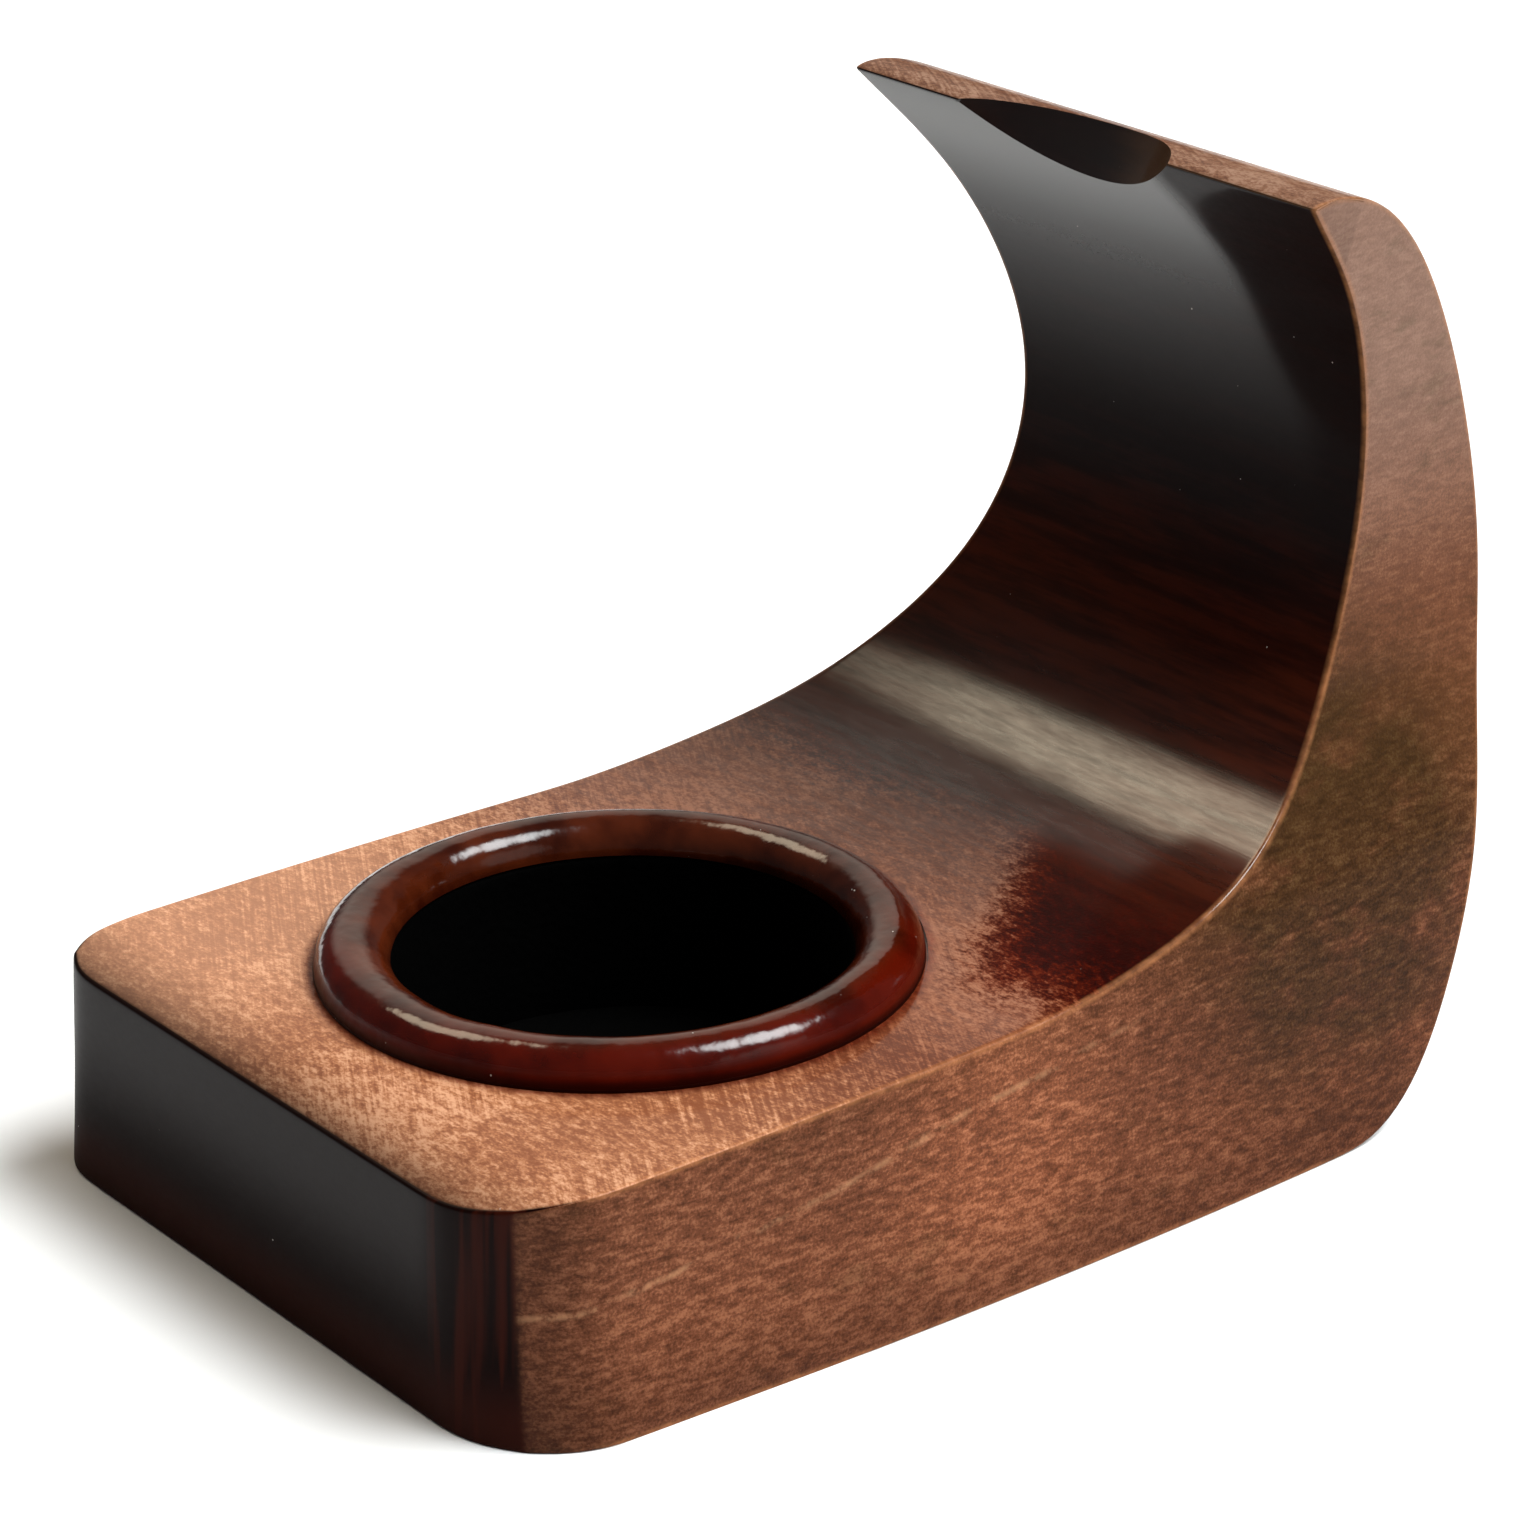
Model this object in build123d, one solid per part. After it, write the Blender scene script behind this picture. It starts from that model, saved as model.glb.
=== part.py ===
"""Single tobacco-pipe stand: a one-piece hardwood body with a low deck and an arm that curls over it,
a turned rim ring around the bowl cup, and the cup's lining.  Millimetres, +Z up, deck end at -Y."""
from build123d import *
from math import atan, cos, radians, sin
import os

# Overall size
LENGTH = 98.0
FLOOR_HALF_WIDTH = 30.1
FRONT = -LENGTH / 2

# Side view, as (distance behind the front face, height)
NOSE = [(0.0, 16.5), (3.5, 17.45), (8.0, 18.0)]
DECK_REAR = (43.0, 19.25)
INNER_CURVE = [
    (58.0, 21.2), (67.9, 24.3), (76.7, 31.0), (82.0, 39.9), (83.5, 48.0), (81.4, 58.4), (76.9, 66.2),
]
ARM_TIP = (70.9, 72.9)
CROWN = (73.3, 73.3)
BACK_CURVE = [(80.0, 71.1), (87.4, 64.2), (94.4, 53.2)]
REARMOST = (98.0, 39.6)
BACK_FOOT = [(95.5, 28.0), (92.2, 18.8)]
HEEL_START = (89.3, 10.2)
HEEL_MIDDLE = (85.0, 3.1)
HEEL_END = (79.0, 0.0)

# Front view of the +X side, as (height, half width): the base leans in a little, the arm is waisted
WAIST = [(10.0, 29.3), (19.5, 28.45), (26.0, 26.15), (33.0, 23.5), (45.0, 22.0), (58.0, 23.4)]
ENVELOPE_BOTTOM = (-2.0, 30.45)
ENVELOPE_TOP = (76.0, 28.2)
SIDE_SWING = 625.0          # radius of the sides' slight bulge, seen from above
BULGE_BEHIND_FRONT = 18.2   # where the body is widest

# Front corners, seen from above
NEAR_CORNER_R = 8.9
FAR_CORNER_R = 4.6

# Cup for the bowl, square to the sloping deck
CUP_BEHIND_FRONT = 30.3
BORE_R = 18.2
BORE_DEPTH = 13.4
COUNTERBORE_R = 19.6
COUNTERBORE_DEPTH = 3.0
SEAT_R = 22.1

# Rim ring: a round bead on a thin foot, with a spigot in the counterbore
BEAD_CENTRE_R = 19.4
BEAD_R = 2.5
BEAD_HEIGHT = 0.3
FOOT_R = 21.95
FOOT_THICKNESS = 0.25

# Cup lining
LINING_R = BEAD_CENTRE_R - BEAD_R
PAD_THICKNESS = 1.2

# Stem notch in the arm's tip: its section, as (across, depth behind the tip), and the line it's cut along
NOTCH_SECTION = [
    (-13.25, 0.0), (-7.75, 2.28), (-3.6, 3.4), (0.5, 3.88),
    (3.4, 3.76), (6.3, 2.98), (8.7, 1.44), (10.2, 0.0),
]
NOTCH_ELEVATION = 88.1
NOTCH_SIDE_LEAN = 0.7       # sideways run toward +X for each millimetre of height
NOTCH_REACH = 9.0           # how far the cutter passes above and below the tip, and stands clear in front


def at(point):
    """Side-view point (distance behind the front, height) in the body's own Y and Z."""
    return (FRONT + point[0], point[1])


def deck_height(behind_front):
    """Height of the straight part of the deck."""
    rise = (DECK_REAR[1] - NOSE[-1][1]) / (DECK_REAR[0] - NOSE[-1][0])
    return NOSE[-1][1] + rise * (behind_front - NOSE[-1][0])


DECK_SLOPE = atan((DECK_REAR[1] - NOSE[-1][1]) / (DECK_REAR[0] - NOSE[-1][0]))
CUP_PLANE = Plane(
    origin=(0, FRONT + CUP_BEHIND_FRONT, deck_height(CUP_BEHIND_FRONT)),
    x_dir=(1, 0, 0),
    z_dir=(0, -sin(DECK_SLOPE), cos(DECK_SLOPE)),
)


def side_view():
    """Outline of the body seen from the side, as a face in the YZ plane."""
    along_deck = (cos(DECK_SLOPE), sin(DECK_SLOPE))
    nose = Spline([at(p) for p in NOSE], tangents=[(0.8, 0.3), along_deck])
    deck = Line(at(NOSE[-1]), at(DECK_REAR))
    inner = Spline(
        [at(p) for p in [DECK_REAR, *INNER_CURVE, ARM_TIP]],
        tangents=[along_deck, (-0.66, 0.75)],
    )
    land = Spline([at(ARM_TIP), at(CROWN)], tangents=[(0.9, 0.5), (1, 0)])
    down_the_back = (-0.36, -0.93)
    back = Spline(
        [at(p) for p in [CROWN, *BACK_CURVE, REARMOST, *BACK_FOOT, HEEL_START]],
        tangents=[(1, 0), down_the_back],
    )
    heel = Spline([at(p) for p in [HEEL_START, HEEL_MIDDLE, HEEL_END]], tangents=[down_the_back, (-1, 0)])
    floor = Line(at(HEEL_END), (FRONT, 0))
    front = Line((FRONT, 0), at(NOSE[0]))
    return make_face(Plane.YZ * Curve([nose, deck, inner, land, back, heel, floor, front]))


def side_envelope():
    """Everything on the body's side of its +X face: the waisted front view swung about a far axis."""
    far_x = -2 * FLOOR_HALF_WIDTH
    bottom = (ENVELOPE_BOTTOM[1], ENVELOPE_BOTTOM[0])
    top = (ENVELOPE_TOP[1], ENVELOPE_TOP[0])
    waist = Spline([bottom, *[(x, z) for z, x in WAIST], top])
    outline = Curve([
        waist,
        Line(top, (far_x, top[1])),
        Line((far_x, top[1]), (far_x, bottom[1])),
        Line((far_x, bottom[1]), bottom),
    ])
    bulge_y = FRONT + BULGE_BEHIND_FRONT
    section = Plane(origin=(0, bulge_y, 0), x_dir=(1, 0, 0), z_dir=(0, -1, 0)) * outline
    swing_axis = Axis((-SIDE_SWING, bulge_y, 0), (0, 0, 1))
    start = make_face(section).rotate(swing_axis, -3)
    return revolve(start, swing_axis, revolution_arc=12)


def cup_cylinder(radius, bottom, top):
    """Cylinder on the cup's axis between two heights measured from the deck."""
    base = (Align.CENTER, Align.CENTER, Align.MIN)
    return CUP_PLANE * Pos(0, 0, bottom) * Cylinder(radius, top - bottom, align=base)


def stem_notch():
    """Leaning cutter for the lopsided scallop in the arm's tip."""
    elevation = radians(NOTCH_ELEVATION)
    run = Vector(NOTCH_SIDE_LEAN, cos(elevation), sin(elevation))
    up_the_notch = (0, cos(elevation), sin(elevation))
    section_plane = Plane(origin=(0, *at(ARM_TIP)), x_dir=(1, 0, 0), z_dir=up_the_notch)
    left, right = NOTCH_SECTION[0], NOTCH_SECTION[-1]
    outline = Curve([
        Spline(NOTCH_SECTION),
        Polyline(right, (right[0], -NOTCH_REACH), (left[0], -NOTCH_REACH), left),
    ])
    start = make_face(section_plane * outline).translate(run * -NOTCH_REACH)
    return extrude(start, 2 * NOTCH_REACH * run.length, dir=run)


def make_body():
    """The one-piece wooden body."""
    right = side_envelope()
    body = extrude(side_view(), FLOOR_HALF_WIDTH * 1.1, both=True)
    body = body & right & mirror(right, about=Plane.YZ)
    for side, radius in ((1, NEAR_CORNER_R), (-1, FAR_CORNER_R)):
        corner = [
            edge for edge in body.edges()
            if abs(edge.center().Y - FRONT) < 0.1 and side * edge.center().X > FLOOR_HALF_WIDTH - 3
        ]
        body = fillet(corner, radius)
    body -= cup_cylinder(BORE_R, -BORE_DEPTH, 5)
    body -= cup_cylinder(COUNTERBORE_R, -COUNTERBORE_DEPTH, 5)
    body -= cup_cylinder(SEAT_R, 0, 5)
    body -= stem_notch()
    return body


def make_rim_ring():
    """Turned ring: bead, foot and spigot, revolved about the cup's axis."""
    diagonal = BEAD_R * cos(radians(45))
    crest = (BEAD_CENTRE_R, BEAD_HEIGHT + BEAD_R)
    bead_in = (LINING_R, BEAD_HEIGHT)
    foot_join_r = BEAD_CENTRE_R + (BEAD_R**2 - (BEAD_HEIGHT - FOOT_THICKNESS) ** 2) ** 0.5
    foot_in = (foot_join_r, FOOT_THICKNESS)
    section = Curve([
        ThreePointArc(bead_in, (BEAD_CENTRE_R - diagonal, BEAD_HEIGHT + diagonal), crest),
        ThreePointArc(crest, (BEAD_CENTRE_R + diagonal, BEAD_HEIGHT + diagonal), foot_in),
        Polyline(
            foot_in, (FOOT_R, FOOT_THICKNESS), (FOOT_R, 0), (COUNTERBORE_R, 0),
            (COUNTERBORE_R, -COUNTERBORE_DEPTH), (BORE_R, -COUNTERBORE_DEPTH),
            (BORE_R, BEAD_HEIGHT), bead_in,
        ),
    ])
    ring = revolve(make_face(Plane.XZ * section), Axis.Z)
    return CUP_PLANE * ring


def make_cup_lining():
    """Black sleeve lining the bore, from the pad up to the underside of the bead."""
    pad_top = PAD_THICKNESS - BORE_DEPTH
    return cup_cylinder(BORE_R, pad_top, BEAD_HEIGHT) - cup_cylinder(LINING_R, pad_top, BEAD_HEIGHT)


def make_cup_pad():
    """Soft disc on the bore's floor, under the lining."""
    return cup_cylinder(BORE_R, -BORE_DEPTH, PAD_THICKNESS - BORE_DEPTH)


PARTS = {
    "wooden_body": make_body,
    "rim_ring": make_rim_ring,
    "cup_lining": make_cup_lining,
    "cup_pad": make_cup_pad,
}

os.makedirs("parts", exist_ok=True)
for name, make in PARTS.items():
    export_step(make(), f"parts/{name}.step")
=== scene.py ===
from math import atan2, cos, radians, sin, tau

import bmesh
import bpy
import numpy as np
from mathutils import Matrix, Vector, noise


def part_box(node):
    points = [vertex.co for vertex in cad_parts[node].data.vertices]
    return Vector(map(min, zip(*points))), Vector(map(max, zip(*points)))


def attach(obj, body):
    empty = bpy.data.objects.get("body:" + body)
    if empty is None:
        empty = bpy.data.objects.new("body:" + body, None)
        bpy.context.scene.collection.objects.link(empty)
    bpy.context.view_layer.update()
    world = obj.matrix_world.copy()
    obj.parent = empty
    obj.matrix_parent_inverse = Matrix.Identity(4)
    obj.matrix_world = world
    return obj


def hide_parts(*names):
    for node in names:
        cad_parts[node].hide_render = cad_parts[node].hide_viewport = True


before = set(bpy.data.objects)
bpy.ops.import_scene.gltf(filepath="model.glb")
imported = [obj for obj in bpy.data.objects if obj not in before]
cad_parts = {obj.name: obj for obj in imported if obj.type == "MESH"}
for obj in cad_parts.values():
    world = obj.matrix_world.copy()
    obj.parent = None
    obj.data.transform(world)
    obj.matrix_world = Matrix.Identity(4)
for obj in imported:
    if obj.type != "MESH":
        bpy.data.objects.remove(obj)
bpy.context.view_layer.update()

MM = 0.001

# Camera
SENSOR = 36.0
FOCAL_LENGTH = 117.0
CAMERA_AZIMUTH = 51.84
CAMERA_ELEVATION = 21.73
CAMERA_ROLL = 0.667
CAMERA_DISTANCE = 358.3 * MM
CAMERA_TARGET = Vector((0, -5.85, 30.6)) * MM

# Side view of the body in millimetres, as (distance behind the front face, height)
NOSE = [(0.0, 16.5), (3.5, 17.45), (8.0, 18.0)]
DECK_REAR = (43.0, 19.25)
INNER_CURVE = [
    (58.0, 21.2), (67.9, 24.3), (76.7, 31.0), (82.0, 39.9), (83.5, 48.0), (81.4, 58.4), (76.9, 66.2),
]
ARM_TIP = (70.9, 72.9)
CROWN = (73.3, 73.3)
BACK_CURVE = [(80.0, 71.1), (87.4, 64.2), (94.4, 53.2)]
REARMOST = (98.0, 39.6)
BACK_FOOT = [(95.5, 28.0), (92.2, 18.8)]
HEEL = [(89.3, 10.2), (85.0, 3.1), (79.0, 0.0)]
DOWN_THE_BACK = (-0.36, -0.93)

# Where the body's mesh is ruled across its thickness: each upper point, with its partner on the lower line
RUNGS = list(zip(
    [DECK_REAR, *INNER_CURVE],
    [
        (44.0, 0.0), (63.0, 0.0), (81.5, 1.0), (92.2, 18.8),
        (97.8, 37.0), (96.8, 47.0), (92.0, 58.0), (81.5, 70.2),
    ],
))

# Front view of the sides, as (height, half width), and their slight bulge seen from above
WAIST = [
    (-2.0, 30.45), (10.0, 29.3), (19.5, 28.45), (26.0, 26.15),
    (33.0, 23.5), (45.0, 22.0), (58.0, 23.4), (76.0, 28.2),
]
SIDE_SWING = 625.0
BULGE_BEHIND_FRONT = 18.2

NEAR_CORNER_R = 8.9
FAR_CORNER_R = 4.6
EDGE_LOOP = 0.42            # distance of the mesh's support loops from the edges, which rounds the edges
WORN_REACH = 0.9            # how far from a long edge the wood is worn

# Cup
BORE_R = 18.2
SEAT_R = 22.1
COUNTERBORE_R = 19.6
COUNTERBORE_DEPTH = 3.0
BORE_DEPTH = 13.4
CUP_BEHIND_FRONT = 30.3
BEAD_CENTRE_R = 19.4
BEAD_R = 2.5
BEAD_HEIGHT = 0.3
FOOT_R = 21.95
FOOT_THICKNESS = 0.25
LINING_R = BEAD_CENTRE_R - BEAD_R
PAD_THICKNESS = 1.2
CLEARANCE = 0.02            # how far the hidden faces of the cup's pieces stand clear of the wood

# The ring's unevenness, and the part of its bead that is thicker on the inside
UNEVENNESS = 0.07
THICKENING = 0.55
THICKEST_TOWARDS = Vector((-0.35, -0.94))

# Stem notch: its section, as (across, depth behind the tip), and the line it is cut along
NOTCH_SECTION = [
    (-13.25, 0.0), (-7.75, 2.28), (-3.6, 3.4), (0.5, 3.88),
    (3.4, 3.76), (6.3, 2.98), (8.7, 1.44), (10.2, 0.0),
]
NOTCH_ELEVATION = 88.1
NOTCH_SIDE_LEAN = 0.7
NOTCH_REACH = 9.0

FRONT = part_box("wooden_body")[0][1] / MM


# ---------------------------------------------------------------- curves

def smooth_curve(points, start=None, end=None, spacing=0.25):
    """Dense cubic through the points by chord length, leaving and arriving in the given directions."""
    points = np.array(points, float)
    h = np.hypot(*np.diff(points, axis=0).T)
    rise = np.diff(points, axis=0) / h[:, None]
    n = len(points)
    system = np.zeros((n, n))
    target = np.zeros((n, 2))
    for i in range(1, n - 1):
        system[i, i - 1:i + 2] = h[i], 2 * (h[i - 1] + h[i]), h[i - 1]
        target[i] = 3 * (h[i] * rise[i - 1] + h[i - 1] * rise[i])
    for row, beside, direction, slope in ((0, 1, start, rise[0]), (n - 1, n - 2, end, rise[-1])):
        if direction is None:
            system[row, row], system[row, beside] = 2, 1
            target[row] = 3 * slope
        else:
            system[row, row] = 1
            target[row] = np.array(direction) / np.hypot(*direction)
    slopes = np.linalg.solve(system, target)
    pieces = [points[:1]]
    for i in range(n - 1):
        t = np.linspace(0, 1, max(2, int(h[i] / spacing)) + 1)[1:, None]
        pieces.append(
            (2 * t**3 - 3 * t**2 + 1) * points[i] + (t**3 - 2 * t**2 + t) * h[i] * slopes[i]
            + (3 * t**2 - 2 * t**3) * points[i + 1] + (t**3 - t**2) * h[i] * slopes[i + 1]
        )
    return np.vstack(pieces)


def straight(a, b, spacing=0.5):
    """Points along a straight line."""
    return np.linspace(a, b, max(2, int(np.hypot(b[0] - a[0], b[1] - a[1]) / spacing)))


def join(*lines):
    """One line from lines that meet end to end."""
    return np.vstack([lines[0], *[line[1:] for line in lines[1:]]])


def run_length(line):
    """How far along the line each of its points is."""
    return np.concatenate([[0], np.cumsum(np.hypot(*np.diff(line, axis=0).T))])


def point_along(line, distances):
    """Places at the given distances along the line."""
    s = run_length(line)
    return np.stack([np.interp(distances, s, line[:, 0]), np.interp(distances, s, line[:, 1])], axis=-1)


def nearest_distance(line, point):
    """How far along the line its nearest point to the given one is."""
    return run_length(line)[np.argmin(np.hypot(*(line - np.array(point)).T))]


DECK_RISE = (DECK_REAR[1] - NOSE[-1][1]) / (DECK_REAR[0] - NOSE[-1][0])
ALONG_DECK = (1, DECK_RISE)
DECK_LINE = join(smooth_curve(NOSE, (0.8, 0.3), ALONG_DECK), straight(NOSE[-1], DECK_REAR))
UPPER_LINE = join(DECK_LINE, smooth_curve([DECK_REAR, *INNER_CURVE, ARM_TIP], ALONG_DECK, (-0.66, 0.75)))
BACK = smooth_curve([CROWN, *BACK_CURVE, REARMOST, *BACK_FOOT, HEEL[0]], (1, 0), DOWN_THE_BACK)
LOWER_LINE = join(straight((0, 0), HEEL[-1]), smooth_curve(HEEL, DOWN_THE_BACK, (-1, 0))[::-1], BACK[::-1])
LAND = smooth_curve([ARM_TIP, CROWN], (0.9, 0.5), (1, 0))
WAIST_LINE = smooth_curve(WAIST)


def half_width(behind_front, height):
    """Half the body's width at a place in the side view."""
    reach = np.interp(height, WAIST_LINE[:, 0], WAIST_LINE[:, 1]) + SIDE_SWING
    return np.sqrt(reach**2 - (behind_front - BULGE_BEHIND_FRONT) ** 2) - SIDE_SWING


# ---------------------------------------------------------------- mesh helpers

def object_from(name, verts, faces):
    """New object from vertices in millimetres."""
    mesh = bpy.data.meshes.new(name)
    mesh.from_pydata([tuple(v * MM for v in p) for p in verts], [], faces)
    mesh.update()
    obj = bpy.data.objects.new(name, mesh)
    bpy.context.scene.collection.objects.link(obj)
    return obj


def apply_modifiers(obj):
    """Bakes the object's modifiers into its mesh."""
    bpy.context.view_layer.update()
    evaluated = obj.evaluated_get(bpy.context.evaluated_depsgraph_get())
    old, obj.data = obj.data, bpy.data.meshes.new_from_object(evaluated)
    obj.modifiers.clear()
    bpy.data.meshes.remove(old)


def subdivide(obj, levels):
    """Smooths the object's mesh by subdivision."""
    modifier = obj.modifiers.new("subdivision", "SUBSURF")
    modifier.levels = modifier.render_levels = levels
    apply_modifiers(obj)


def outward(obj):
    """Turns all faces outwards."""
    bm = bmesh.new()
    bm.from_mesh(obj.data)
    bmesh.ops.recalc_face_normals(bm, faces=bm.faces)
    bm.to_mesh(obj.data)
    bm.free()


def shade_smooth(obj, sharp_angle=32):
    """Smooth shading, except over edges sharper than an angle in degrees."""
    obj.data.shade_smooth()
    obj.data.set_sharp_from_angle(angle=radians(sharp_angle))


def cut(obj, cutter):
    """Takes the cutter's volume away from the object."""
    modifier = obj.modifiers.new("cut", "BOOLEAN")
    modifier.operation = "DIFFERENCE"
    modifier.solver = "EXACT"
    modifier.object = cutter
    apply_modifiers(obj)
    bpy.data.objects.remove(cutter)


def revolved(name, section, steps):
    """Closed ring from a closed (radius, height) section, about the upright axis through the origin."""
    verts = []
    for i in range(steps):
        a = tau * i / steps
        verts += [(r * cos(a), r * sin(a), z) for r, z in section]
    n = len(section)
    faces = []
    for i in range(steps):
        j = (i + 1) % steps
        faces += [(i * n + k, i * n + (k + 1) % n, j * n + (k + 1) % n, j * n + k) for k in range(n)]
    obj = object_from(name, verts, faces)
    outward(obj)
    return obj


def drum(name, rings, steps=160):
    """Closed drum from (radius, height) rings listed from its bottom to its top, with a pole at each end."""
    verts = [(0, 0, rings[0][1])]
    for r, z in rings:
        verts += [(r * cos(tau * i / steps), r * sin(tau * i / steps), z) for i in range(steps)]
    verts.append((0, 0, rings[-1][1]))
    top = len(verts) - 1
    faces = [(0, 1 + (i + 1) % steps, 1 + i) for i in range(steps)]
    for k in range(len(rings) - 1):
        low, high = 1 + k * steps, 1 + (k + 1) * steps
        faces += [(low + i, low + (i + 1) % steps, high + (i + 1) % steps, high + i) for i in range(steps)]
    last = 1 + (len(rings) - 1) * steps
    faces += [(last + i, last + (i + 1) % steps, top) for i in range(steps)]
    obj = object_from(name, verts, faces)
    outward(obj)
    return obj


def arc(centre, radius, start, end, steps):
    """Points of an arc in a section, with angles in degrees from the radial direction."""
    angles = np.radians(np.linspace(start, end, steps + 1))
    return [(centre[0] + radius * cos(a), centre[1] + radius * sin(a)) for a in angles]


# The cup's axis, square to the sloping deck
CUP_CENTRE = Vector((
    0,
    FRONT + CUP_BEHIND_FRONT,
    NOSE[-1][1] + DECK_RISE * (CUP_BEHIND_FRONT - NOSE[-1][0]),
)) * MM
CUP_TURN = Matrix.Translation(CUP_CENTRE) @ Matrix.Rotation(atan2(DECK_RISE, 1), 4, "X")


def put_in_cup(obj):
    """Moves a piece made about the origin to the cup's axis."""
    obj.data.transform(CUP_TURN)
    obj.data.update()


def finish_piece(obj, node, material):
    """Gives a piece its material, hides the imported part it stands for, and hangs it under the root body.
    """
    obj.data.materials.clear()
    obj.data.materials.append(material)
    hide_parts(node)
    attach(obj, "root")


# ---------------------------------------------------------------- body

def round_corner(x, behind, width, radius):
    """Moves a point near a front corner, seen from above, so that the corner follows an arc."""
    side = 1 if x > 0 else -1
    a = (abs(x) - (width - radius)) / radius
    b = 1 - behind / radius
    if a <= 0 or b <= 0:
        return x, behind
    reach = max(a, b)
    turn = radians(45) * a / b if b >= a else radians(90) - radians(45) * b / a
    across = width - radius + reach * radius * sin(turn)
    return side * across, radius * (1 - reach * cos(turn))


def body_stations():
    """Distances along the upper line, closest near its ends, and the matching ones along the lower line."""
    full_upper, full_lower = run_length(UPPER_LINE)[-1], run_length(LOWER_LINE)[-1]
    upper_keys = [0, *[nearest_distance(UPPER_LINE, up) for up, _ in RUNGS], full_upper]
    lower_keys = [0, *[nearest_distance(LOWER_LINE, low) for _, low in RUNGS], full_lower]
    upper = np.concatenate([
        [0, EDGE_LOOP],
        np.linspace(1.3, 9.5, 9),
        np.linspace(12, full_upper - 6, 46),
        full_upper - np.array([4.2, 2.8, 1.7, 0.9, EDGE_LOOP, 0]),
    ])
    return upper, np.interp(upper, upper_keys, lower_keys)


def body_lattice(inner_rows=7, columns=22, land_reach=3.0):
    """Points of the body: along it, up through its thickness, and across it.

    Over the last few millimetres, land_reach, the rows bend onto the narrow land of the arm's tip.
    """
    upper, lower = body_stations()
    top, bottom = point_along(UPPER_LINE, upper), point_along(LOWER_LINE, lower)
    lattice = np.zeros((len(upper), inner_rows + 3, columns + 3, 3))
    end = upper[-1]
    for i in range(len(upper)):
        thickness = np.hypot(*(top[i] - bottom[i]))
        edge = min(EDGE_LOOP, 0.2 * thickness) / thickness
        rows = [0, *np.linspace(edge, 1 - edge, inner_rows + 1), 1]
        to_land = np.clip(1 - (end - upper[i]) / land_reach, 0, 1)
        for j, v in enumerate(rows):
            point = bottom[i] + v * (top[i] - bottom[i])
            chord = np.array(CROWN) + v * (np.array(ARM_TIP) - np.array(CROWN))
            on_land = point_along(LAND, [(1 - v) * run_length(LAND)[-1]])[0]
            behind, height = point + to_land * (on_land - chord)
            width = half_width(behind, height)
            edge_x = EDGE_LOOP / width
            for k, f in enumerate([-1, *np.linspace(-1 + edge_x, 1 - edge_x, columns + 1), 1]):
                radius = NEAR_CORNER_R if f > 0 else FAR_CORNER_R
                x, moved = round_corner(f * width, behind, width, radius)
                z = height
                if moved != behind:
                    z = v * np.interp(moved, DECK_LINE[:, 0], DECK_LINE[:, 1])
                lattice[i, j, k] = x, FRONT + moved, z
    return lattice


def shell_of(lattice):
    """Vertices and quads of the lattice's outside."""
    size = lattice.shape[:3]
    index = {}
    verts = []

    def number(place):
        key = place[0], place[1], place[2]
        if key not in index:
            index[key] = len(verts)
            verts.append(tuple(lattice[key]))
        return index[key]

    corners = ((0, 0), (1, 0), (1, 1), (0, 1))
    faces = []
    for first, second, fixed in ((0, 2, 1), (0, 1, 2), (1, 2, 0)):
        for i in range(size[first] - 1):
            for j in range(size[second] - 1):
                for side in (0, size[fixed] - 1):
                    faces.append([number({first: i + a, second: j + b, fixed: side}) for a, b in corners])
    return verts, faces


def notch_cutter():
    """Leaning prism with the notch's section."""
    elevation = radians(NOTCH_ELEVATION)
    axis = Vector((0, cos(elevation), sin(elevation)))
    deeper = Vector((0, sin(elevation), -cos(elevation)))
    run = Vector((NOTCH_SIDE_LEAN, 0, 0)) + axis
    tip = Vector((0, FRONT + ARM_TIP[0], ARM_TIP[1]))
    scallop = smooth_curve(NOTCH_SECTION, spacing=0.5)
    outline = [*scallop, (NOTCH_SECTION[-1][0], -NOTCH_REACH), (NOTCH_SECTION[0][0], -NOTCH_REACH)]
    ring = [tip + Vector((x, 0, 0)) + deeper * depth for x, depth in outline]
    n = len(ring)
    verts = [tuple(p + run * reach) for reach in (-NOTCH_REACH, NOTCH_REACH) for p in ring]
    sides = [(k, (k + 1) % n, n + (k + 1) % n, n + k) for k in range(n)]
    cutter = object_from("notch cutter", verts, [*sides, list(range(n))[::-1], list(range(n, 2 * n))])
    outward(cutter)
    return cutter


def cup_cutter():
    """Stepped drum that cuts the bore, the counterbore and the ring's seat."""
    above = 6
    cutter = drum("cup cutter", [
        (BORE_R, -BORE_DEPTH), (BORE_R, -COUNTERBORE_DEPTH), (COUNTERBORE_R, -COUNTERBORE_DEPTH),
        (COUNTERBORE_R, 0), (SEAT_R, 0), (SEAT_R, above),
    ])
    put_in_cup(cutter)
    return cutter


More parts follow.
